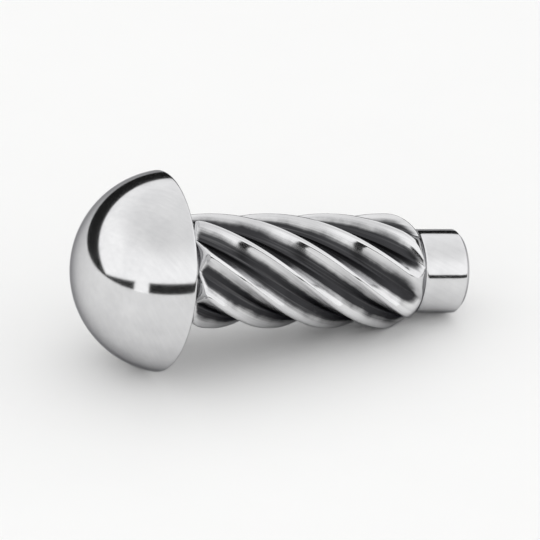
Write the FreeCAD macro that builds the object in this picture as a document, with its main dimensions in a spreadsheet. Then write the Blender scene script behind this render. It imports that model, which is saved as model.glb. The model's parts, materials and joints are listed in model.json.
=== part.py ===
import FreeCAD, Part
import math
import os

import Sketcher

# Round-head hammer drive screw, one headed and rolled piece of steel.
# It is modelled on its own axis first: X runs from the head to the tip, and X = 0 is
# the bearing face under the head. The body is then laid down the way it comes to rest,
# on the rim of the head and the ends of two ridges, with +Z up.

# Driving sizes in millimetres, apart from the number of ridges. The ridged length is what
# the neck, the shoulder and the pilot leave of the length under the head. The neck is
# neck_step deeper than the bottoms of the valleys.
SIZES = {
    "head_diameter": 8.0,
    "head_height": 3.5,
    "rim_radius": 0.1,
    "under_head_length": 12.7,
    "neck_length": 0.95,
    "neck_step": 0.08,
    "neck_fillet": 0.6,
    "ridge_diameter": 4.55,
    "ridge_count": 8,
    "ridge_lead": 19.8,
    "ridge_rise": 0.25,
    "ridge_depth": 0.465,
    "crest_width": 0.16,
    "valley_rounding": 0.2,
    "shoulder_length": 1.0,
    "shoulder_radius": 1.4,
    "shoulder_fillet": 0.2,
    "pilot_diameter": 3.32,
    "pilot_length": 1.9,
    "tip_chamfer": 0.15,
}

# How far a cutter stands clear of the ridges that it trims.
CUTTER_CLEARANCE = 0.5

# The direction of the floor, as an angle about the screw's axis.
DOWN_ANGLE = 270

FULL_TURN = 360
HALF_TURN = 180

# How closely an edge has to match the place and radius by which it is looked up.
EDGE_TOLERANCE = 1e-4

# How nearly level the rim and the shank lie on the floor.
REST_TOLERANCE = 1e-3

# Places along the axis, as formulas of the sheet.
PILOT_START = "(sizes.under_head_length - sizes.pilot_length)"
RIDGES_END = "(sizes.under_head_length - sizes.pilot_length - sizes.shoulder_length)"
RIDGE_LENGTH = f"({RIDGES_END} - sizes.neck_length)"

# Distances from the axis, as formulas of the sheet.
CREST_RADIUS = "(sizes.ridge_diameter / 2)"
VALLEY_BOTTOM = f"({CREST_RADIUS} - sizes.ridge_depth)"
NECK_RADIUS = f"({VALLEY_BOTTOM} - sizes.neck_step)"

# Half the angle that a crest takes up, seen from the axis.
CREST_HALF_ANGLE = f"(sizes.crest_width / sizes.ridge_diameter * {HALF_TURN} / pi)"

# How a sketch numbers its axes and the points of an edge, of which 0 is the edge itself.
X_AXIS, Y_AXIS = -1, -2
_, START, END, CENTRE = range(4)
SKETCH_ORIGIN = (X_AXIS, START)

Vector = FreeCAD.Vector

os.makedirs("parts", exist_ok=True)
doc = FreeCAD.newDocument("drive_screw")


def make_sheet():
    """The spreadsheet, with one named cell for each driving size."""
    cells = doc.addObject("Spreadsheet::Sheet", "sizes")
    for row, (alias, number) in enumerate(SIZES.items(), start=1):
        cells.set(f"A{row}", alias)
        cells.set(f"B{row}", str(number))
        cells.setAlias(f"B{row}", alias)
    doc.recompute()
    return cells


sheet = make_sheet()


def size(alias):
    """The number that a named cell holds."""
    return float(getattr(sheet, alias))


def crest_distance():
    """From the axis to the crest of a ridge."""
    return size("ridge_diameter") / 2


def valley_distance():
    """From the axis to the bottom of a valley."""
    return crest_distance() - size("ridge_depth")


def neck_distance():
    """From the axis to the surface of the neck."""
    return valley_distance() - size("neck_step")


def origin_feature(body, role):
    """A plane or an axis of the body's own origin."""
    return next(f for f in body.Origin.OriginFeatures if f.Role == role)


def new_sketch(body, name, plane):
    """An empty sketch on one of the body's origin planes."""
    sketch = body.newObject("Sketcher::SketchObject", name)
    sketch.AttachmentSupport = [(origin_feature(body, plane), "")]
    sketch.MapMode = "FlatFace"
    return sketch


def constrain(sketch, kind, *where):
    """A constraint without a number."""
    sketch.addConstraint(Sketcher.Constraint(kind, *where))


def dimension(sketch, name, kind, where, number, formula):
    """A named dimension of the sketch: its number now, bound to a formula of the sheet."""
    index = sketch.addConstraint(Sketcher.Constraint(kind, *where, number))
    sketch.renameConstraint(index, name)
    sketch.setExpression(f"Constraints.{name}", formula)


def draw_lines(sketch, points):
    """Straight edges from point to point, joined end to start."""
    lines = []
    for first, second in zip(points, points[1:]):
        lines.append(sketch.addGeometry(Part.LineSegment(first, second)))
    for before, after in zip(lines, lines[1:]):
        constrain(sketch, "Coincident", before, END, after, START)
    return lines


def revolve(body, kind, name, sketch):
    """A Revolution or a Groove of the sketch once round the screw's axis."""
    feature = body.newObject(kind, name)
    feature.Profile = sketch
    feature.ReferenceAxis = (sketch, ["H_Axis"])
    feature.Angle = FULL_TURN
    doc.recompute()
    return feature


def circular_edge(shape, position, radius):
    """The name of the circular edge of that radius at that place along the axis."""
    for index, edge in enumerate(shape.Edges, start=1):
        if edge.Degenerated or not isinstance(edge.Curve, Part.Circle):
            continue
        found = (edge.Curve.Center.x, edge.Curve.Radius)
        if math.dist(found, (position, radius)) < EDGE_TOLERANCE:
            return f"Edge{index}"
    raise RuntimeError(f"no circular edge at {position}, radius {radius}")


def dress_edge(body, kind, name, base, position, radius):
    """A Fillet or a Chamfer of one circular edge, with its size bound to the cell of its name."""
    feature = body.newObject(kind, name)
    feature.Base = (base, [circular_edge(base.Shape, position, radius)])
    feature.setExpression("Radius" if kind.endswith("Fillet") else "Size", f"sizes.{name}")
    doc.recompute()
    return feature


def make_core(body):
    """Head, neck, core of the shank and pilot, turned from one outline.

    The dome is part of a sphere, which runs into the rounded rim of the flat bearing face.
    """
    head_radius = size("head_diameter") / 2
    head_height = size("head_height")
    rim_radius = size("rim_radius")
    neck_radius = neck_distance()
    pilot_radius = size("pilot_diameter") / 2
    tip = size("under_head_length")
    pilot_start = tip - size("pilot_length")

    sketch = new_sketch(body, "core_outline", "XY_Plane")
    rim_centre = Vector(-rim_radius, head_radius - rim_radius)
    points = [
        Vector(0, rim_centre.y),
        Vector(0, neck_radius),
        Vector(pilot_start, neck_radius),
        Vector(pilot_start, pilot_radius),
        Vector(tip, pilot_radius),
        Vector(tip, 0),
        Vector(-head_height, 0),
    ]
    bearing, neck, step, pilot, end, axis = draw_lines(sketch, points)
    dome_centre = Vector(
        (rim_centre.y**2 + rim_radius**2 - (head_height - rim_radius) ** 2)
        / (2 * (head_height - 2 * rim_radius)),
        0,
    )
    outward = rim_centre - dome_centre
    rim_angle = math.atan2(outward.y, outward.x)
    normal = Vector(0, 0, 1)
    rim_circle = Part.Circle(rim_centre, normal, rim_radius)
    rim = sketch.addGeometry(Part.ArcOfCircle(rim_circle, 0, rim_angle))
    dome_circle = Part.Circle(dome_centre, normal, head_height + dome_centre.x)
    dome = sketch.addGeometry(Part.ArcOfCircle(dome_circle, rim_angle, math.pi))

    constrain(sketch, "Tangent", rim, START, bearing, START)
    constrain(sketch, "Tangent", dome, START, rim, END)
    constrain(sketch, "Coincident", dome, END, axis, END)
    constrain(sketch, "PointOnObject", dome, CENTRE, X_AXIS)
    constrain(sketch, "PointOnObject", bearing, START, Y_AXIS)
    constrain(sketch, "PointOnObject", axis, START, X_AXIS)
    for line in (bearing, step, end):
        constrain(sketch, "Vertical", line)
    for line in (neck, pilot, axis):
        constrain(sketch, "Horizontal", line)
    dimension(sketch, "rim_radius", "Radius", (rim,), rim_radius, "sizes.rim_radius")
    dimension(
        sketch, "rim_centre", "DistanceY", (*SKETCH_ORIGIN, bearing, START),
        rim_centre.y, "sizes.head_diameter / 2 - sizes.rim_radius",
    )
    dimension(
        sketch, "head_height", "DistanceX", (axis, END, *SKETCH_ORIGIN),
        head_height, "sizes.head_height",
    )
    dimension(
        sketch, "neck_radius", "DistanceY", (*SKETCH_ORIGIN, neck, START),
        neck_radius, NECK_RADIUS,
    )
    dimension(
        sketch, "pilot_start", "DistanceX", (*SKETCH_ORIGIN, pilot, START),
        pilot_start, PILOT_START,
    )
    dimension(
        sketch, "pilot_radius", "DistanceY", (*SKETCH_ORIGIN, pilot, START),
        pilot_radius, "sizes.pilot_diameter / 2",
    )
    dimension(
        sketch, "under_head_length", "DistanceX", (*SKETCH_ORIGIN, pilot, END),
        tip, "sizes.under_head_length",
    )
    core = revolve(body, "PartDesign::Revolution", "core", sketch)
    under = dress_edge(body, "PartDesign::Fillet", "neck_fillet", core, 0, neck_radius)
    return dress_edge(body, "PartDesign::Chamfer", "tip_chamfer", under, tip, pilot_radius)


def turned(x, y, angle):
    """A point of the ridged section, turned about the axis."""
    return Vector(
        x * math.cos(angle) - y * math.sin(angle),
        x * math.sin(angle) + y * math.cos(angle),
    )


def make_ridges(body):
    """The ridged length: its section has one crest and one rounded valley per ridge.

    The section is swept along the lead as a right-hand helix.
    """
    count = int(size("ridge_count"))
    crest_radius = crest_distance()
    rounding = size("valley_rounding")
    valley_centre = valley_distance() + rounding
    pitch_angle = 2 * math.pi / count
    crest_angle = size("crest_width") / crest_radius
    edge_angle = (pitch_angle - crest_angle) / 2

    # A flank runs from the edge of a crest to where it touches the round of the valley.
    edge_x = crest_radius * math.cos(edge_angle)
    edge_y = crest_radius * math.sin(edge_angle)
    to_edge = math.atan2(edge_y, edge_x - valley_centre)
    reach = math.hypot(edge_x - valley_centre, edge_y)
    touch_angle = to_edge + math.acos(rounding / reach)
    touch_x = valley_centre + rounding * math.cos(touch_angle)
    touch_y = rounding * math.sin(touch_angle)

    sketch = new_sketch(body, "ridge_section", "YZ_Plane")
    normal = Vector(0, 0, 1)
    valleys, flanks_up, crests, flanks_down = [], [], [], []
    for number in range(count):
        here = number * pitch_angle
        following = here + pitch_angle
        centre = turned(valley_centre, 0, here)
        round_of_valley = Part.Circle(centre, normal, rounding)
        first, last = here + touch_angle, here + 2 * math.pi - touch_angle
        valleys.append(sketch.addGeometry(Part.ArcOfCircle(round_of_valley, first, last)))
        flank = Part.LineSegment(turned(touch_x, touch_y, here), turned(edge_x, edge_y, here))
        flanks_up.append(sketch.addGeometry(flank))
        crest_circle = Part.Circle(Vector(), normal, crest_radius)
        first, last = here + edge_angle, following - edge_angle
        crests.append(sketch.addGeometry(Part.ArcOfCircle(crest_circle, first, last)))
        flank = Part.LineSegment(
            turned(edge_x, -edge_y, following), turned(touch_x, -touch_y, following)
        )
        flanks_down.append(sketch.addGeometry(flank))

    chord = "sizes.ridge_diameter * sin({})"
    for number in range(count):
        valley, up = valleys[number], flanks_up[number]
        crest, down = crests[number], flanks_down[number]
        next_valley = valleys[(number + 1) % count]
        next_up = flanks_up[(number + 1) % count]
        constrain(sketch, "Tangent", valley, START, up, START)
        constrain(sketch, "Tangent", down, END, next_valley, END)
        constrain(sketch, "Coincident", up, END, crest, START)
        constrain(sketch, "Coincident", crest, END, down, START)
        constrain(sketch, "Coincident", crest, CENTRE, *SKETCH_ORIGIN)
        constrain(sketch, "Equal", down, next_up)
        dimension(
            sketch, f"valley_centre_{number}", "Distance", (valley, CENTRE, *SKETCH_ORIGIN),
            valley_centre, f"{VALLEY_BOTTOM} + sizes.valley_rounding",
        )
        if number == 0:
            constrain(sketch, "PointOnObject", valley, CENTRE, X_AXIS)
            dimension(sketch, "crest_radius", "Radius", (crest,), crest_radius, CREST_RADIUS)
            dimension(
                sketch, "valley_rounding", "Radius", (valley,), rounding, "sizes.valley_rounding"
            )
        else:
            constrain(sketch, "Equal", crests[0], crest)
            constrain(sketch, "Equal", valleys[0], valley)
            dimension(
                sketch, f"valley_width_{number}", "Distance",
                (flanks_down[number - 1], START, up, END),
                2 * edge_y,
                chord.format(f"{HALF_TURN} / sizes.ridge_count - {CREST_HALF_ANGLE}"),
            )
        dimension(
            sketch, f"crest_width_{number}", "Distance", (crest, START, crest, END),
            2 * crest_radius * math.sin(crest_angle / 2), chord.format(CREST_HALF_ANGLE),
        )

    # One valley faces the floor where the ridges end, so the shank lies on the ridges beside it.
    sketch.AttachmentOffset = FreeCAD.Placement(Vector(), FreeCAD.Rotation(normal, 0))
    sketch.setExpression("AttachmentOffset.Base.z", "sizes.neck_length")
    sketch.setExpression(
        "AttachmentOffset.Rotation.Angle",
        f"{DOWN_ANGLE} - {FULL_TURN} * {RIDGE_LENGTH} / sizes.ridge_lead",
    )
    doc.recompute()

    ridges = body.newObject("PartDesign::AdditiveHelix", "ridges")
    ridges.Profile = sketch
    ridges.ReferenceAxis = (sketch, ["N_Axis"])
    ridges.Mode = "pitch-height-angle"
    ridges.Angle = 0
    ridges.LeftHanded = False
    ridges.setExpression("Pitch", "sizes.ridge_lead")
    ridges.setExpression("Height", f"{RIDGE_LENGTH} + sizes.shoulder_length")
    doc.recompute()
    return ridges


def trim(body, name, sketch):
    """A cut round the screw that shapes one end of the ridges, and must remove metal."""
    before = body.Tip.Shape.Volume
    cut = revolve(body, "PartDesign::Groove", name, sketch)
    if not cut.Shape.Volume < before:
        raise RuntimeError(f"{name} cuts nothing")
    return cut


def trim_neck_end(body):
    """The ridges rise on a short cone beside the plain neck."""
    ridges_start = size("neck_length")
    ridges_full = ridges_start + size("ridge_rise")
    neck_radius = neck_distance()
    crest_radius = crest_distance()
    clear_radius = crest_radius + CUTTER_CLEARANCE

    sketch = new_sketch(body, "neck_end_cutter", "XY_Plane")
    points = [
        Vector(ridges_start, neck_radius),
        Vector(ridges_full, crest_radius),
        Vector(ridges_full, clear_radius),
        Vector(ridges_start - CUTTER_CLEARANCE, clear_radius),
        Vector(ridges_start, neck_radius),
    ]
    cone, face, top, back = draw_lines(sketch, points)
    constrain(sketch, "Coincident", back, END, cone, START)
    constrain(sketch, "Vertical", face)
    constrain(sketch, "Horizontal", top)
    dimension(
        sketch, "ridges_start", "DistanceX", (*SKETCH_ORIGIN, cone, START),
        ridges_start, "sizes.neck_length",
    )
    dimension(
        sketch, "neck_radius", "DistanceY", (*SKETCH_ORIGIN, cone, START),
        neck_radius, NECK_RADIUS,
    )
    dimension(
        sketch, "ridge_rise", "DistanceX", (cone, START, cone, END),
        size("ridge_rise"), "sizes.ridge_rise",
    )
    dimension(
        sketch, "crest_radius", "DistanceY", (*SKETCH_ORIGIN, cone, END),
        crest_radius, CREST_RADIUS,
    )
    dimension(
        sketch, "clear_radius", "DistanceY", (*SKETCH_ORIGIN, top, START),
        clear_radius, f"{CREST_RADIUS} + {CUTTER_CLEARANCE}",
    )
    dimension(
        sketch, "lead_back", "DistanceX", (back, START, back, END),
        CUTTER_CLEARANCE, f"{CUTTER_CLEARANCE}",
    )
    return trim(body, "neck_end", sketch)


def trim_shoulder(body):
    """The ridges fall on a convex shoulder to the pilot, and die out on it."""
    pilot_start = size("under_head_length") - size("pilot_length")
    ridges_end = pilot_start - size("shoulder_length")
    crest_radius = crest_distance()
    pilot_radius = size("pilot_diameter") / 2
    shoulder_radius = size("shoulder_radius")
    clear_radius = crest_radius + CUTTER_CLEARANCE

    high, low = Vector(ridges_end, crest_radius), Vector(pilot_start, pilot_radius)
    chord = low - high
    inward = Vector(chord.y, -chord.x).normalize()
    centre = (high + low) / 2 + inward * math.sqrt(shoulder_radius**2 - chord.Length**2 / 4)
    from_angle = math.atan2(low.y - centre.y, low.x - centre.x)
    to_angle = math.atan2(high.y - centre.y, high.x - centre.x)

    sketch = new_sketch(body, "shoulder_cutter", "XY_Plane")
    round_of_shoulder = Part.Circle(centre, Vector(0, 0, 1), shoulder_radius)
    arc = sketch.addGeometry(Part.ArcOfCircle(round_of_shoulder, from_angle, to_angle))
    points = [
        low,
        Vector(pilot_start + CUTTER_CLEARANCE, clear_radius),
        Vector(ridges_end, clear_radius),
        high,
    ]
    back, top, face = draw_lines(sketch, points)
    constrain(sketch, "Coincident", arc, START, back, START)
    constrain(sketch, "Coincident", arc, END, face, END)
    constrain(sketch, "Vertical", face)
    constrain(sketch, "Horizontal", top)
    dimension(
        sketch, "shoulder_radius", "Radius", (arc,),
        shoulder_radius, "sizes.shoulder_radius",
    )
    dimension(
        sketch, "ridges_end", "DistanceX", (*SKETCH_ORIGIN, face, END),
        ridges_end, RIDGES_END,
    )
    dimension(
        sketch, "crest_radius", "DistanceY", (*SKETCH_ORIGIN, face, END),
        crest_radius, CREST_RADIUS,
    )
    dimension(
        sketch, "pilot_start", "DistanceX", (*SKETCH_ORIGIN, back, START),
        pilot_start, PILOT_START,
    )
    dimension(
        sketch, "pilot_radius", "DistanceY", (*SKETCH_ORIGIN, back, START),
        pilot_radius, "sizes.pilot_diameter / 2",
    )
    dimension(
        sketch, "clear_radius", "DistanceY", (*SKETCH_ORIGIN, top, START),
        clear_radius, f"{CREST_RADIUS} + {CUTTER_CLEARANCE}",
    )
    dimension(
        sketch, "lead_on", "DistanceX", (back, START, back, END),
        CUTTER_CLEARANCE, f"{CUTTER_CLEARANCE}",
    )
    shoulder = trim(body, "shoulder", sketch)
    return dress_edge(
        body, "PartDesign::Fillet", "shoulder_fillet", shoulder, pilot_start, pilot_radius
    )


def lay_down(body):
    """Rest the screw on the floor, on the rim of its head and on its ridges.

    The tilt is the one at which the rim and the lowest point of the ridges or the pilot are
    equally low. The origin then comes to the middle of the bottom of the whole.
    """
    rim_radius = size("rim_radius")
    rim_height = size("head_diameter") / 2 - rim_radius
    ridges_start = size("neck_length")
    length = size("under_head_length")
    faces = [face for face in body.Shape.Faces if face.CenterOfMass.x > ridges_start]
    shank = Part.makeCompound(faces)
    across = Vector(0, 1, 0)

    tilt = math.atan((rim_height - crest_distance()) / length)
    gap = length
    while abs(gap) > REST_TOLERANCE:
        tilted = shank.copy()
        tilted.rotate(Vector(), across, math.degrees(tilt))
        rim_low = rim_radius * math.sin(tilt) - rim_height * math.cos(tilt) - rim_radius
        gap = tilted.optimalBoundingBox(False).ZMin - rim_low
        tilt += gap / length

    body.Placement.Rotation = FreeCAD.Rotation(across, math.degrees(tilt))
    box = body.Shape.optimalBoundingBox(False)
    body.Placement.Base = Vector(-box.Center.x, -box.Center.y, -box.ZMin)
    doc.recompute()


screw = doc.addObject("PartDesign::Body", "drive_screw")
screw.Label = "drive_screw"
make_core(screw)
make_ridges(screw)
trim_neck_end(screw)
trim_shoulder(screw)
lay_down(screw)

for item in doc.Objects:
    if "Invalid" in item.State or "Error" in item.State:
        raise RuntimeError(f"{item.Name} failed")
if screw.Shape.isNull() or not screw.Shape.isValid() or len(screw.Shape.Solids) != 1:
    raise RuntimeError("the screw isn't one valid solid")

screw.Shape.exportStep(f"parts/{screw.Label}.step")
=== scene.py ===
import json
import math

import bpy
import numpy as np
from bpy.props import FloatProperty, FloatVectorProperty, IntProperty, PointerProperty
from mathutils import Matrix, Vector


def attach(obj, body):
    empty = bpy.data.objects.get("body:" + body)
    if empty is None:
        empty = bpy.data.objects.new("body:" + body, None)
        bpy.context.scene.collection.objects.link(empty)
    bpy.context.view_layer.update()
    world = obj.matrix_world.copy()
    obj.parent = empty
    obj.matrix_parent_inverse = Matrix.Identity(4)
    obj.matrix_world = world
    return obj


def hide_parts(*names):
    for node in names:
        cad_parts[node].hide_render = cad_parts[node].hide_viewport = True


bl_info = {
    "name": "Drive Screw",
    "version": (1, 0, 0),
    "blender": (4, 5, 0),
    "location": "View3D > Sidebar > Drive Screw",
    "description": "Builds a round-head drive screw of bright steel and the stage it lies on",
    "category": "Object",
}

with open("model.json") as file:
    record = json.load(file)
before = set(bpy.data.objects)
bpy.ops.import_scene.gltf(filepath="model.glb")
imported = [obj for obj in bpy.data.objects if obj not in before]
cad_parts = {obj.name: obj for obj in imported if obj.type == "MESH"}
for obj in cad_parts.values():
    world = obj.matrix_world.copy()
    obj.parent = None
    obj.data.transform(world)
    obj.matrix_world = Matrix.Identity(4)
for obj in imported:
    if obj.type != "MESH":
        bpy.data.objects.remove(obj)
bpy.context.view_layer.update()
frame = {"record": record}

SCREW_NODE = "drive_screw"
MM = 0.001

# Steps that each stretch of the outline is cut into, from the top of the head to the tip.
DOME_STEPS, RIM_STEPS, FACE_STEPS, FILLET_STEPS = 56, 8, 6, 12
RISE_STEPS, BLEND_STEPS, SHANK_STEPS = 17, 10, 111
SHOULDER_STEPS, HOLLOW_STEPS = 34, 8
PILOT_STEPS, BEVEL_STEPS, END_STEPS = 6, 3, 7

# Steps of half a ridge: the valley's bottom, the flank, and the flank's end past the crest's edge.
VALLEY_STEPS, FLANK_STEPS, CREST_STEPS = 5, 5, 5

# The last steps of a flank begin this many roundings below the crest's edge.
CREST_ROUND_REACH = 1.3

# Rows in which the columns change from even spacing to the spacing of the ridges and back.
HEAD_SPREAD_ROWS, PILOT_SPREAD_ROWS = 17, 6

# Rows of the shoulder in which the rounding of the ridges grows.
SHOULDER_BLEND_ROWS = 14

# Where the pilot's first row lies, as a share of its length counted from the tip.
PILOT_FIRST_ROW = 0.9

# Edges that turn by more than this are shaded sharp.
SHARP_ANGLE = math.radians(40)

# Patterns of the steel, in patches per metre. The streaks are long along the screw.
STREAKS_PER_METRE = (120, 5000, 5000)
MOTTLE_PER_METRE = 900.0
FINE_PER_METRE = 7000.0

# A pattern swings from nought to one about this.
PATTERN_MIDDLE = 0.5

# Share of the streaks that is left on the head and on the pilot.
STREAKS_OFF_RIDGES = 0.25

# Lengths over which the streaks get weaker: about the ridges' start, and before the pilot.
RIDGED_BEFORE, RIDGED_AFTER, RIDGED_FADE = 0.1 * MM, 0.3 * MM, 0.8 * MM

# Levels of a pattern between which something sets in. The first are for the shade painted into the
# valleys.
PAINTED_SHADE_LEVELS = (0.27, 0.72)
SCRATCH_LEVELS = (0.52, 0.72)
DULL_LEVELS = (0.5, 1.0)
ROUGH_LEVELS = (0.3, 0.75)

# Share of the painted shade in the valleys that a scratch takes off.
SCRATCHED_OFF = 0.12

# How strongly each pattern works on the painted shade's edge, the dull patches and the surface.
PATTERN_IN_PAINTED_SHADE = 0.5
MOTTLE_IN_DULL = 0.5
STREAKS_IN_ROUGHNESS, MOTTLE_IN_ROUGHNESS, PAINTED_SHADE_IN_ROUGHNESS = 0.6, 0.4, 0.2
STREAKS_IN_RELIEF, FINE_IN_RELIEF = 0.7, 0.12
RELIEF_HEIGHT = 0.004 * MM

# Mottle of the floor's card, and how much darker its darker patches are.
CARD_MOTTLE_PER_METRE = 300.0
CARD_DARKER = 0.985

# Heights and widths in the world, as shares of a direction of length one.
CEILING_HEIGHTS = (0.5, 0.9)
CEILING_TURN = (-0.5, 0.5)
HORIZON_HEIGHT = 0.005
WALL_SOFTNESS = 0.02
GAP_SOFTNESS = 0.004

# A mix node's sockets: its share, its two values and its result.
MIX_SOCKETS = {"FLOAT": (0, 2, 3, 0), "RGBA": (0, 6, 7, 2)}

# Metres from the camera between which it sees anything.
CLIP_START, CLIP_END = 0.001, 10


def mount(name):
    """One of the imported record's mounts."""
    return next(m for m in frame["record"]["mounts"] if m["name"] == name)


def screw_placement():
    """Where the screw lies: its X runs from the head to the tip, from the bearing face."""
    along = Vector(mount("bearing_face")["axis"]).normalized()
    across = Vector((0, 1, 0))
    upward = along.cross(across)
    on_axis = Vector(mount("pilot")["pos_m"])
    face = Vector(mount("bearing_face")["pos_m"])
    base = on_axis + along * (face - on_axis).dot(along)
    placement = Matrix((along, across, upward)).transposed().to_4x4()
    placement.translation = base
    return placement


def length_property(name, description, millimetres):
    """A length that a user may change, in metres."""
    return FloatProperty(
        name=name, description=description, default=millimetres * MM,
        min=0, unit="LENGTH", precision=5,
    )


def angle_property(name, description, degrees):
    """An angle that a user may change."""
    return FloatProperty(
        name=name, description=description, default=math.radians(degrees), subtype="ANGLE",
    )


def factor_property(name, description, default):
    """A share between nought and one."""
    return FloatProperty(
        name=name, description=description, default=default, min=0, max=1, subtype="FACTOR",
    )


def level_property(name, description, default):
    """A light level or a slope."""
    return FloatProperty(name=name, description=description, default=default, min=0)


def colour_property(name, description, default):
    """A linear colour."""
    return FloatVectorProperty(
        name=name, description=description, default=default,
        size=3, min=0, max=1, subtype="COLOR",
    )


class ScrewSizes(bpy.types.PropertyGroup):
    """Lengths and counts of the screw."""

    head_diameter: length_property("Head diameter", "Across the rim of the head", 8.0)
    head_height: length_property("Head height", "From the bearing face to the top", 3.5)
    rim_radius: length_property("Rim radius", "Rounding of the rim of the head", 0.1)
    length: length_property("Length", "From the bearing face to the tip", 12.7)
    neck_length: length_property("Neck length", "From the bearing face to the ridges", 0.95)
    neck_radius: length_property("Neck radius", "From the axis to the neck", 1.73)
    neck_fillet: length_property("Neck fillet", "Rounding under the head", 0.6)
    ridge_diameter: length_property("Ridge diameter", "Across the crests", 4.55)
    ridge_count: IntProperty(name="Ridges", description="Ridges round the shank", default=8, min=3)
    ridge_lead: length_property("Ridge lead", "Length in which a ridge turns once", 19.8)
    ridge_rise: length_property("Ridge rise", "Length in which the ridges rise", 0.25)
    ridge_depth: length_property("Ridge depth", "From a crest to the bottom of a valley", 0.465)
    crest_width: length_property("Crest width", "Across the top of one ridge", 0.16)
    crest_round: length_property("Crest rounding", "Rounding of a crest's two edges", 0.05)
    valley_round: length_property("Valley rounding", "Rounding of a valley's bottom", 0.2)
    end_round: length_property("End rounding", "Rounding of a ridge's end by the neck", 0.28)
    shoulder_length: length_property("Shoulder length", "Where the ridges fall away", 1.0)
    shoulder_round: length_property("Shoulder rounding", "Radius of the shoulder", 1.4)
    shoulder_fillet: length_property("Shoulder fillet", "Hollow at the pilot", 0.2)
    shoulder_blend: length_property("Shoulder blend", "Rounding of the ridges there", 0.14)
    pilot_diameter: length_property("Pilot diameter", "Across the plain end", 3.32)
    pilot_length: length_property("Pilot length", "From the shoulder to the tip", 1.9)
    tip_chamfer: length_property("Tip chamfer", "Bevel of the plain end", 0.15)
    tip_round: length_property("Tip rounding", "Rounding of the bevel's edges", 0.04)
    skin: length_property("Skin", "How far the surface lies inside the nominal one", 0.005)


class SteelFinish(bpy.types.PropertyGroup):
    """Colours and surface of the bright steel."""

    bright: colour_property("Bright steel", "Steel as it left the dies", (0.75, 0.75, 0.755))
    dull: colour_property("Dull steel", "Steel where the dies dragged", (0.62, 0.62, 0.63))
    # Near black: shade painted into the valleys of the ridges.
    painted_valley_shade: colour_property("Painted valley shade", "Shade painted into the valleys", (0.032, 0.032, 0.035))
    edge: colour_property("Edge", "Tint of the steel seen at a low angle", (0.32, 0.32, 0.33))
    roughness: factor_property("Roughness", "Roughness of the bright steel", 0.07)
    roughness_spread: factor_property("Roughness spread", "How much it varies", 0.08)
    # How strongly that shade is painted into the valleys.
    painted_shade_amount: factor_property("Residue amount", "How dark it makes the valleys", 0.98)
    grain: factor_property("Grain", "Depth of the fine lines", 0.25)


class StageSettings(bpy.types.PropertyGroup):
    """The floor, the light and the camera."""

    floor_size: length_property("Floor size", "Edge of the floor", 3000)
    floor_colour: colour_property("Floor colour", "Colour of the floor", (0.90, 0.90, 0.895))
    horizon: level_property("Horizon", "Light level below the horizon", 0.9)
    surround: level_property("Surround", "Light level of the dark walls", 0.02)
    window_light: level_property("Window light", "Light level of the windows all round", 1.21)
    front_light: level_property("Front light", "Light level of the ceiling in front", 0.89)
    back_light: level_property("Back light", "Light level of the ceiling behind", 0.99)
    front_wall: level_property("Front wall", "Slope up to the top of the wall in front", 0.22)
    back_wall: level_property("Back wall", "Slope up to the top of the wall behind", 0.45)
    back_turn: angle_property("Back turn", "Where the wall behind is highest", -15)
    gap_turn: angle_property("Gap turn", "Where the wall in front has its gap", -146)
    gap_width: angle_property("Gap width", "How wide the gap looks from the screw", 17)
    key_light: level_property("Key light", "Light level of the lamp behind", 0.19)
    key_height: angle_property("Key height", "How high the lamp behind stands", 45)
    key_spread: angle_property("Key spread", "How wide the lamp looks from the screw", 60)
    view_width: length_property("View width", "Width of the picture at the screw", 21.34)
    view_turn: angle_property("View turn", "How far the camera stands round the screw", 20.69)
    view_height: angle_property("View height", "How far the camera looks down", 27.19)
    view_distance: length_property("View distance", "From the camera to the screw", 200)
    aim_along: length_property("Aim along", "Middle of the picture, along the axis", 4.77)
    aim_above: length_property("Aim above", "Middle of the picture, above the axis", 0.036)


def smooth_least(a, b, rounding):
    """The smaller of two distances, with the corner between them rounded off."""
    overlap = np.clip(rounding - np.abs(a - b), 0, None) / rounding
    return np.minimum(a, b) - overlap**2 * rounding / 4


def soft_share(share):
    """A share kept between nought and one, with a soft start and a soft end."""
    share = min(max(share, 0), 1)
    return share * share * (3 - 2 * share)


def arc(centre, radius, start, end, steps):
    """Points of an arc, in equal steps, with both its ends."""
    angles = np.linspace(start, end, steps + 1)
    return [(centre[0] + radius * math.cos(a), centre[1] + radius * math.sin(a)) for a in angles]


def line(first, last, steps):
    """Points of a straight line, in equal steps, with both its ends."""
    share = np.linspace(0, 1, steps + 1)
    return [tuple(np.array(first) * (1 - s) + np.array(last) * s) for s in share]


def rounded_corner(before, corner, after, radius, steps):
    """Points of the arc that rounds off the corner between two straight lines."""
    before, corner, after = (np.array(p) for p in (before, corner, after))
    back = (before - corner) / np.linalg.norm(before - corner)
    on = (after - corner) / np.linalg.norm(after - corner)
    half = math.acos(np.clip(back @ on, -1, 1)) / 2
    middle = (back + on) / np.linalg.norm(back + on)
    centre = corner + middle * radius / math.sin(half)
    first = corner + back * radius / math.tan(half) - centre
    last = corner + on * radius / math.tan(half) - centre
    start = math.atan2(first[1], first[0])
    end = math.atan2(last[1], last[0])
    end += 2 * math.pi * round((start - end) / (2 * math.pi))
    return arc(centre, radius, start, end, steps)


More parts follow.
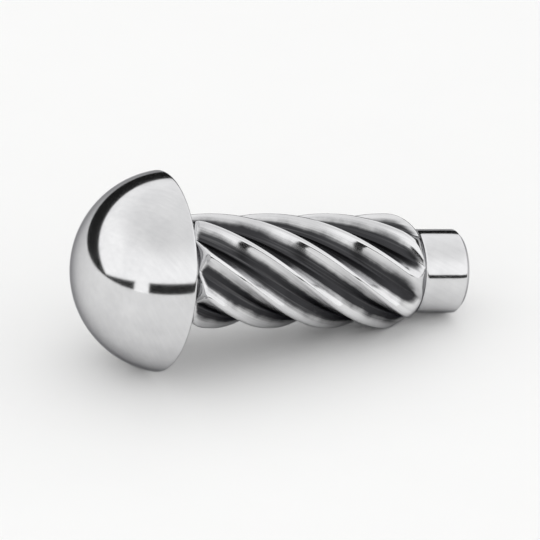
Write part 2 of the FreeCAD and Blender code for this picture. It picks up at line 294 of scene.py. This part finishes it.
def ridge_pitch(sizes):
    """Half of one valley and ridge, from the valley's bottom to where its flanks would meet."""
    crest = sizes.ridge_diameter / 2
    rounding = sizes.valley_round
    valley = crest - sizes.ridge_depth + rounding
    edge_angle = math.pi / sizes.ridge_count - sizes.crest_width / sizes.ridge_diameter
    edge = (crest * math.cos(edge_angle), crest * math.sin(edge_angle))
    reach = math.hypot(edge[0] - valley, edge[1])
    touch_angle = math.atan2(edge[1], edge[0] - valley) + math.acos(rounding / reach)
    touch = (valley + rounding * math.cos(touch_angle), rounding * math.sin(touch_angle))
    points = arc((valley, 0), rounding, math.pi, touch_angle, VALLEY_STEPS)
    flank = np.array(edge) - touch
    length = np.linalg.norm(flank)
    corner = length - CREST_ROUND_REACH * sizes.crest_round
    beyond = length + sizes.crest_width / 2
    marks = [corner * (step + 1) / FLANK_STEPS for step in range(FLANK_STEPS)]
    marks += [
        corner + (beyond - corner) * (step + 1) / CREST_STEPS for step in range(CREST_STEPS)
    ]
    points += [tuple(touch + flank * mark / length) for mark in marks]
    middle_angle = math.pi / sizes.ridge_count
    across = np.array((-math.sin(middle_angle), math.cos(middle_angle)))
    apex = touch - flank * (across @ touch) / (across @ flank)
    return points + [tuple(apex)]


def ridge_section(sizes):
    """Angles and distances from the axis, once round the ridges, from one valley's bottom."""
    half = ridge_pitch(sizes)
    angles = np.array([math.atan2(y, x) for x, y in half])
    distances = np.array([math.hypot(x, y) for x, y in half])
    pitch = 2 * math.pi / sizes.ridge_count
    one_angles = np.concatenate([angles, pitch - angles[-2:0:-1]])
    one_distances = np.concatenate([distances, distances[-2:0:-1]])
    all_angles = [one_angles + pitch * number for number in range(sizes.ridge_count)]
    return np.concatenate(all_angles), np.tile(one_distances, sizes.ridge_count)


def head_outline(sizes):
    """The dome, the rim, the bearing face and the fillet under it."""
    radius, rim = sizes.head_diameter / 2 - sizes.skin, sizes.rim_radius
    height = sizes.head_height - sizes.skin
    rim_centre = (-rim, radius - rim)
    centre = (rim_centre[1] ** 2 + rim**2 - (height - rim) ** 2) / (2 * (height - 2 * rim))
    dome = height + centre
    rim_angle = math.atan2(rim_centre[1], rim_centre[0] - centre)
    points = arc((centre, 0), dome, math.pi, rim_angle, DOME_STEPS)[1:]
    points += arc(rim_centre, rim, rim_angle, 0, RIM_STEPS)[1:]
    fillet = sizes.neck_fillet
    neck = sizes.neck_radius - sizes.skin
    points += line((0, radius - rim), (0, neck + fillet), FACE_STEPS)[1:]
    points += arc((fillet, neck + fillet), fillet, math.pi, 1.5 * math.pi, FILLET_STEPS)[1:]
    return points


def tip_outline(sizes):
    """The plain pilot, from beside the shoulder to the edge of the middle of its end."""
    radius = sizes.pilot_diameter / 2 - sizes.skin
    tip, chamfer = sizes.length - sizes.skin, sizes.tip_chamfer
    bevel_start, bevel_end = (tip - chamfer, radius), (tip, radius - chamfer)
    first = rounded_corner((0, radius), bevel_start, bevel_end, sizes.tip_round, BEVEL_STEPS)
    last = rounded_corner(bevel_start, bevel_end, (tip, 0), sizes.tip_round, BEVEL_STEPS)
    beside_shoulder = (sizes.length - sizes.pilot_length * PILOT_FIRST_ROW, radius)
    points = line(beside_shoulder, first[0], PILOT_STEPS)
    return points + first[1:] + last + line(last[-1], (tip, 0), END_STEPS)[1:-1]


def shoulder_circles(sizes):
    """Centres of the round of the shoulder and of the hollow beside the pilot."""
    start = sizes.length - sizes.pilot_length - sizes.shoulder_length
    high = np.array((start, sizes.ridge_diameter / 2 - sizes.skin))
    low = np.array((start + sizes.shoulder_length, sizes.pilot_diameter / 2 - sizes.skin))
    chord = low - high
    inward = np.array((chord[1], -chord[0])) / np.linalg.norm(chord)
    rise = math.sqrt(sizes.shoulder_round**2 - (chord @ chord) / 4)
    centre = (high + low) / 2 + inward * rise
    hollow_height = low[1] + sizes.shoulder_fillet
    apart = sizes.shoulder_round + sizes.shoulder_fillet
    hollow_start = centre[0] + math.sqrt(apart**2 - (hollow_height - centre[1]) ** 2)
    return centre, np.array((hollow_start, hollow_height))


def rising_limits(sizes):
    """Places on the cone beside the neck and on the shank, each with its limit and rounding."""
    crest = sizes.ridge_diameter / 2 - sizes.skin
    neck = sizes.neck_radius - sizes.skin
    start, full = sizes.neck_length, sizes.neck_length + sizes.ridge_rise
    end = sizes.length - sizes.pilot_length - sizes.shoulder_length
    slope = (crest - neck) / sizes.ridge_rise
    after = full + sizes.end_round
    places = np.concatenate([
        np.linspace(start, full, RISE_STEPS, endpoint=False),
        np.linspace(full, after, BLEND_STEPS, endpoint=False),
        np.linspace(after, end, SHANK_STEPS, endpoint=False),
    ])
    roundings = np.interp(
        places, (start, full, after), (sizes.crest_round / 2, sizes.end_round, sizes.crest_round)
    )
    limits = smooth_least(neck + (places - start) * slope, crest, sizes.end_round)
    return list(zip(places, limits, roundings))


def falling_limits(sizes):
    """Places on the shoulder and in the hollow after it, each with its limit and rounding."""
    crest = sizes.ridge_diameter / 2 - sizes.skin
    start = sizes.length - sizes.pilot_length - sizes.shoulder_length
    centre, hollow = shoulder_circles(sizes)
    towards = hollow - centre
    last_angle = math.atan2(towards[1], towards[0])
    first_angle = math.atan2(crest - centre[1], start - centre[0])
    points = arc(centre, sizes.shoulder_round, first_angle, last_angle, SHOULDER_STEPS)
    back_angle = math.atan2(-towards[1], -towards[0])
    points += arc(hollow, sizes.shoulder_fillet, back_angle, -math.pi / 2, HOLLOW_STEPS)[1:]
    roundings = np.interp(
        range(len(points)), (0, SHOULDER_BLEND_ROWS), (sizes.crest_round, sizes.shoulder_blend)
    )
    return [(*point, rounding) for point, rounding in zip(points, roundings)]


def screw_points(sizes):
    """Rows of points round the screw, from the top of the head to the middle of the tip."""
    angles, distances = ridge_section(sizes)
    distances = distances - sizes.skin
    columns = len(angles)
    even = np.arange(columns) * 2 * math.pi / columns
    ridged_length = sizes.length - sizes.pilot_length - sizes.shoulder_length - sizes.neck_length
    pilot_start = sizes.length - sizes.pilot_length
    turn = 2 * math.pi / sizes.ridge_lead
    # Where the shoulder starts, one valley faces straight down.
    down = math.radians(270)
    first_twist = down - turn * ridged_length
    last_twist = first_twist + turn * (pilot_start - sizes.neck_length)

    rows, depths = [], []

    def plain_row(place, distance, share, twist):
        """A round row, with a share of the ridges' spacing between its points."""
        spacing = even + (angles - even) * share
        rows.append((place, np.full(columns, distance), spacing + twist))
        depths.append(np.zeros(columns))

    head = head_outline(sizes)
    for number, (place, distance) in enumerate(head):
        rows_left = len(head) - 1 - number
        share = soft_share((HEAD_SPREAD_ROWS - rows_left) / HEAD_SPREAD_ROWS)
        plain_row(place, distance, share, first_twist)
    for place, limit, rounding in rising_limits(sizes) + falling_limits(sizes):
        twist = first_twist + turn * (min(place, pilot_start) - sizes.neck_length)
        reach = smooth_least(distances, limit, rounding)
        rows.append((place, reach, angles + twist))
        depths.append((limit - reach) / sizes.ridge_depth)
    for number, (place, distance) in enumerate(tip_outline(sizes)):
        share = max(1 - (number + 1) / PILOT_SPREAD_ROWS, 0)
        plain_row(place, distance, share, last_twist)

    points = [np.array([[sizes.skin - sizes.head_height, 0, 0]])]
    for place, distance, angle in rows:
        along = np.full(columns, place)
        points.append(np.stack([along, distance * np.cos(angle), distance * np.sin(angle)], 1))
    points.append(np.array([[sizes.length - sizes.skin, 0, 0]]))
    depths = np.concatenate([[0], *depths, [0]])
    return np.concatenate(points), depths, len(rows), columns


def screw_faces(rows, columns):
    """Quads between the rows, and a fan at each end."""
    ahead = [(column + 1) % columns for column in range(columns)]
    faces = [(0, 1 + ahead[c], 1 + c) for c in range(columns)]
    for row in range(rows - 1):
        here, there = 1 + row * columns, 1 + (row + 1) * columns
        for column in range(columns):
            following = ahead[column]
            faces.append((here + column, here + following, there + following, there + column))
    last, tip = 1 + (rows - 1) * columns, 1 + rows * columns
    faces += [(last + c, last + ahead[c], tip) for c in range(columns)]
    return faces


def screw_mesh(sizes):
    """The whole screw as one closed mesh, in its place on the floor."""
    points, depths, rows, columns = screw_points(sizes)
    placement = np.array(screw_placement())
    placed = points @ placement[:3, :3].T + placement[:3, 3]
    mesh = bpy.data.meshes.new("drive_screw_steel")
    mesh.from_pydata(placed.tolist(), [], screw_faces(rows, columns))
    # How deep each point lies in a valley. The material paints shade by it.
    mesh.attributes.new("valley_depth", "FLOAT", "POINT").data.foreach_set("value", depths)
    mesh.shade_smooth()
    mesh.set_sharp_from_angle(angle=SHARP_ANGLE)
    return mesh


class Graph:
    """Places nodes in a material or a world, and joins them."""

    def __init__(self, tree):
        self.tree = tree
        tree.nodes.clear()

    def add(self, kind, settings=None, values=(), **named):
        """A node with its settings, and with values on its first sockets and on named ones."""
        node = self.tree.nodes.new(kind)
        for name, value in (settings or {}).items():
            setattr(node, name, value)
        for socket, value in zip(node.inputs, values):
            self.feed(socket, value)
        for name, value in named.items():
            self.feed(node.inputs[name.replace("_", " ")], value)
        return node

    def feed(self, socket, value):
        """Puts a number, a colour or another node's output on a socket."""
        if isinstance(value, bpy.types.NodeSocket):
            self.tree.links.new(value, socket)
        else:
            socket.default_value = value

    def math(self, operation, *values):
        """One sum."""
        return self.add("ShaderNodeMath", {"operation": operation}, values).outputs[0]

    def vector(self, operation, *values):
        """One sum of vectors."""
        node = self.add("ShaderNodeVectorMath", {"operation": operation}, values)
        return node.outputs["Value" if operation == "DOT_PRODUCT" else "Vector"]

    def noise(self, place, scale, detail, roughness):
        """A pattern of soft random patches."""
        return self.add(
            "ShaderNodeTexNoise",
            Vector=place, Scale=scale, Detail=detail, Roughness=roughness,
        ).outputs[0]

    def ramp(self, value, low, high, to_low=0.0, to_high=1.0):
        """A smooth step from one level to another."""
        settings = {"interpolation_type": "SMOOTHSTEP"}
        values = (value, low, high, to_low, to_high)
        return self.add("ShaderNodeMapRange", settings, values).outputs[0]

    def mix(self, kind, share, a, b):
        """A blend of two numbers or of two colours."""
        node = self.add("ShaderNodeMix", {"data_type": kind})
        *inputs, output = MIX_SOCKETS[kind]
        for number, value in zip(inputs, (share, a, b)):
            self.feed(node.inputs[number], value)
        return node.outputs[output]

    def away_from_middle(self, pattern, share, base):
        """A share of a pattern's swing about its middle, added to a base."""
        swing = self.math("SUBTRACT", pattern, PATTERN_MIDDLE)
        return self.math("MULTIPLY_ADD", swing, share, base)


def opaque(colour):
    """A colour with full cover."""
    return (*colour, 1)


def steel_material(finish, sizes):
    """Bright steel with drawn lines, dull streaks, and dark shade painted into the valleys,
    scratched through in streaks.
    """
    material = bpy.data.materials.new("bright_steel")
    material.use_nodes = True
    g = Graph(material.node_tree)
    placement = screw_placement()
    place = g.add("ShaderNodeTexCoord").outputs["Object"]
    own = g.add(
        "ShaderNodeMapping", {"vector_type": "TEXTURE"},
        (place, placement.translation, placement.to_euler()),
    ).outputs[0]
    along = g.add("ShaderNodeSeparateXYZ", values=(own,)).outputs["X"]

    turn = g.math("MULTIPLY", along, -2 * math.pi / sizes.ridge_lead)
    unwound = g.add(
        "ShaderNodeVectorRotate", {"rotation_type": "X_AXIS"}, Vector=own, Angle=turn
    ).outputs[0]
    streaks = g.noise(g.vector("MULTIPLY", unwound, STREAKS_PER_METRE), 1.0, 3.0, 0.6)
    mottle = g.noise(own, MOTTLE_PER_METRE, 4.0, 0.55)
    fine = g.noise(own, FINE_PER_METRE, 2.0, 0.5)

    start, pilot_start = sizes.neck_length, sizes.length - sizes.pilot_length
    ridged = g.math(
        "MULTIPLY",
        g.ramp(along, start - RIDGED_BEFORE, start + RIDGED_AFTER),
        g.ramp(along, pilot_start, pilot_start - RIDGED_FADE),
    )
    # Painted shade: darker the deeper a point lies in a valley, with a mottled, streaky edge.
    depth = g.add("ShaderNodeAttribute", {"attribute_name": "valley_depth"}).outputs["Fac"]
    painted_shade_reach = g.away_from_middle(mottle, PATTERN_IN_PAINTED_SHADE, depth)
    painted_shade_reach = g.away_from_middle(streaks, PATTERN_IN_PAINTED_SHADE, painted_shade_reach)
    # Streaks scratch through the painted shade.
    painted_shade_strength = g.ramp(
        streaks, *SCRATCH_LEVELS, finish.painted_shade_amount, finish.painted_shade_amount - SCRATCHED_OFF
    )
    painted_shade_mask = g.math("MULTIPLY", g.ramp(painted_shade_reach, *PAINTED_SHADE_LEVELS), painted_shade_strength)

    off_ridges = g.math("SUBTRACT", 1.0, ridged)
    streak_share = g.math("MULTIPLY_ADD", off_ridges, STREAKS_OFF_RIDGES - 1, 1.0)
    streaks = g.away_from_middle(streaks, streak_share, PATTERN_MIDDLE)
    worn = g.math("ADD", streaks, g.math("MULTIPLY", mottle, MOTTLE_IN_DULL))
    worn = g.ramp(worn, *DULL_LEVELS)
    steel = g.mix("RGBA", worn, opaque(finish.bright), opaque(finish.dull))
    # The painted shade darkens the steel in the valleys.
    colour = g.mix("RGBA", painted_shade_mask, steel, opaque(finish.painted_valley_shade))

    roughness = g.math(
        "ADD", g.math("MULTIPLY", streaks, STREAKS_IN_ROUGHNESS),
        g.math("MULTIPLY", mottle, MOTTLE_IN_ROUGHNESS),
    )
    roughest = finish.roughness + finish.roughness_spread
    roughness = g.ramp(roughness, *ROUGH_LEVELS, finish.roughness, roughest)
    # The painted shade is a little rougher than the steel.
    roughness = g.math(
        "ADD", roughness, g.math("MULTIPLY", painted_shade_mask, PAINTED_SHADE_IN_ROUGHNESS)
    )
    relief = g.math(
        "ADD", g.math("MULTIPLY", streaks, STREAKS_IN_RELIEF),
        g.math("MULTIPLY", fine, FINE_IN_RELIEF),
    )
    bump = g.add(
        "ShaderNodeBump", Strength=finish.grain, Distance=RELIEF_HEIGHT, Height=relief
    ).outputs[0]
    shader = g.add(
        "ShaderNodeBsdfPrincipled", Base_Color=colour, Metallic=1.0, Roughness=roughness,
        Normal=bump, Specular_Tint=opaque(finish.edge),
    )
    g.add("ShaderNodeOutputMaterial", Surface=shader.outputs[0])
    return material


def floor_material(stage):
    """Pale matt card with a faint mottle."""
    material = bpy.data.materials.new("pale_card")
    material.use_nodes = True
    g = Graph(material.node_tree)
    place = g.add("ShaderNodeTexCoord").outputs["Object"]
    mottle = g.noise(place, CARD_MOTTLE_PER_METRE, 3.0, 0.5)
    lighter = opaque(stage.floor_colour)
    darker = opaque([level * CARD_DARKER for level in stage.floor_colour])
    colour = g.mix("RGBA", mottle, lighter, darker)
    shader = g.add(
        "ShaderNodeBsdfPrincipled", Base_Color=colour, Roughness=1.0, Specular_IOR_Level=0.0,
    )
    g.add("ShaderNodeOutputMaterial", Surface=shader.outputs[0])
    return material


def level_direction(turn):
    """A level direction away from the camera, turned about the upright."""
    return (math.sin(turn), math.cos(turn), 0)


def light_the_world(stage):
    """Windows and a ceiling over dark walls, of which the front one has a gap."""
    world = bpy.data.worlds.new("soft_studio")
    world.use_nodes = True
    g = Graph(world.node_tree)
    direction = g.add("ShaderNodeTexCoord").outputs["Generated"]
    height = g.add("ShaderNodeSeparateXYZ", values=(direction,)).outputs["Z"]
    turn = stage.view_turn
    behind = g.vector("DOT_PRODUCT", direction, level_direction(turn))
    ceiling = g.ramp(behind, *CEILING_TURN, stage.front_light, stage.back_light)
    light = g.mix("FLOAT", g.ramp(height, *CEILING_HEIGHTS), stage.window_light, ceiling)

    highest = level_direction(turn + stage.back_turn)
    wall_top = g.math(
        "MAXIMUM",
        g.math("MULTIPLY", g.vector("DOT_PRODUCT", direction, highest), stage.back_wall),
        g.math("MULTIPLY", behind, -stage.front_wall),
    )
    above_wall = g.math("SUBTRACT", height, wall_top)
    clear = g.ramp(above_wall, -WALL_SOFTNESS, WALL_SOFTNESS)
    level_part = g.vector("NORMALIZE", g.vector("MULTIPLY", direction, (1, 1, 0)))
    towards_gap = g.vector(
        "DOT_PRODUCT", level_part, level_direction(turn + stage.gap_turn)
    )
    edge = math.cos(stage.gap_width / 2)
    gap = g.ramp(towards_gap, edge - GAP_SOFTNESS, edge + GAP_SOFTNESS)
    clear = g.math("MAXIMUM", clear, gap)

    below = g.ramp(height, HORIZON_HEIGHT, 0.0)
    level = g.math("MULTIPLY", light, clear)
    level = g.math("ADD", level, g.math("MULTIPLY", below, stage.horizon))
    level = g.math("ADD", level, stage.surround)
    background = g.add("ShaderNodeBackground", Color=(1, 1, 1, 1), Strength=level)
    g.add("ShaderNodeOutputWorld", Surface=background.outputs[0])
    bpy.context.scene.world = world


def hang_key_light(stage):
    """A broad lamp behind the screw. It only makes the soft shadow, and nothing mirrors it."""
    turn, height = stage.view_turn, stage.key_height
    towards = Vector((
        -math.sin(turn) * math.cos(height), -math.cos(turn) * math.cos(height), -math.sin(height)
    ))
    data = bpy.data.lights.new("key_light", "SUN")
    data.energy = stage.key_light
    data.angle = stage.key_spread
    lamp = bpy.data.objects.new("key_light", data)
    lamp.visible_glossy = False
    lamp.rotation_mode = "QUATERNION"
    lamp.rotation_quaternion = towards.to_track_quat("-Z", "Y")
    bpy.context.scene.collection.objects.link(lamp)


def place_camera(stage):
    """The camera looks across the screw from the head's side, at the drawing's angle."""
    turn, height = stage.view_turn, stage.view_height
    ahead = Vector((
        math.sin(turn) * math.cos(height), math.cos(turn) * math.cos(height), -math.sin(height)
    ))
    placement = screw_placement()
    rotation = ahead.to_track_quat("-Z", "Y")
    target = placement @ Vector((stage.aim_along, 0, 0))
    target += rotation @ Vector((0, stage.aim_above, 0))
    data = bpy.data.cameras.new("drawing_view")
    data.type = "ORTHO"
    data.ortho_scale = stage.view_width
    data.clip_start = CLIP_START
    data.clip_end = CLIP_END
    camera = bpy.data.objects.new("drawing_view", data)
    camera.rotation_mode = "QUATERNION"
    camera.rotation_quaternion = rotation
    camera.location = target - ahead * stage.view_distance
    bpy.context.scene.collection.objects.link(camera)
    bpy.context.scene.camera = camera


class ScrewBuild(bpy.types.Operator):
    """Build the screw's steel in place of its plain solid"""

    bl_idname = "drive_screw.build"
    bl_label = "Build the screw"

    def execute(self, context):
        """Makes the screw from the sizes and the finish in the sidebar."""
        sizes, finish = context.scene.screw_sizes, context.scene.steel_finish
        screw = bpy.data.objects.new("drive_screw_steel", screw_mesh(sizes))
        screw.data.materials.append(steel_material(finish, sizes))
        context.scene.collection.objects.link(screw)
        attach(screw, "root")
        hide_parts(SCREW_NODE)
        return {"FINISHED"}


class StageBuild(bpy.types.Operator):
    """Lay the floor, light it and place the camera"""

    bl_idname = "drive_screw.stage"
    bl_label = "Set the stage"

    def execute(self, context):
        """Makes the floor, the light and the camera from the settings in the sidebar."""
        stage = context.scene.stage_settings
        half = stage.floor_size / 2
        corners = [(-half, -half, 0), (half, -half, 0), (half, half, 0), (-half, half, 0)]
        mesh = bpy.data.meshes.new("floor")
        mesh.from_pydata(corners, [], [(0, 1, 2, 3)])
        mesh.materials.append(floor_material(stage))
        floor = bpy.data.objects.new("floor", mesh)
        context.scene.collection.objects.link(floor)
        light_the_world(stage)
        hang_key_light(stage)
        place_camera(stage)
        context.scene.view_settings.view_transform = "Standard"
        return {"FINISHED"}


class ScrewPanel(bpy.types.Panel):
    """Sizes, finish and stage of the screw"""

    bl_idname = "VIEW3D_PT_drive_screw"
    bl_label = "Drive Screw"
    bl_space_type = "VIEW_3D"
    bl_region_type = "UI"
    bl_category = "Drive Screw"

    def draw(self, context):
        """Lists the settings, with the buttons that use them."""
        layout = self.layout
        for group, operator in (
            ("screw_sizes", None), ("steel_finish", ScrewBuild), ("stage_settings", StageBuild),
        ):
            settings = getattr(context.scene, group)
            column = layout.column(align=True)
            for name in settings.__annotations__:
                column.prop(settings, name)
            if operator:
                layout.operator(operator.bl_idname)


CLASSES = (ScrewSizes, SteelFinish, StageSettings, ScrewBuild, StageBuild, ScrewPanel)


def register():
    """Adds the settings, the two operators and the panel."""
    for item in CLASSES:
        bpy.utils.register_class(item)
    bpy.types.Scene.screw_sizes = PointerProperty(type=ScrewSizes)
    bpy.types.Scene.steel_finish = PointerProperty(type=SteelFinish)
    bpy.types.Scene.stage_settings = PointerProperty(type=StageSettings)


def unregister():
    """Takes away what register added."""
    del bpy.types.Scene.stage_settings
    del bpy.types.Scene.steel_finish
    del bpy.types.Scene.screw_sizes
    for item in reversed(CLASSES):
        bpy.utils.unregister_class(item)


def main():
    """Builds everything."""
    register()
    bpy.ops.drive_screw.build()
    bpy.ops.drive_screw.stage()


if __name__ == "__main__":
    main()
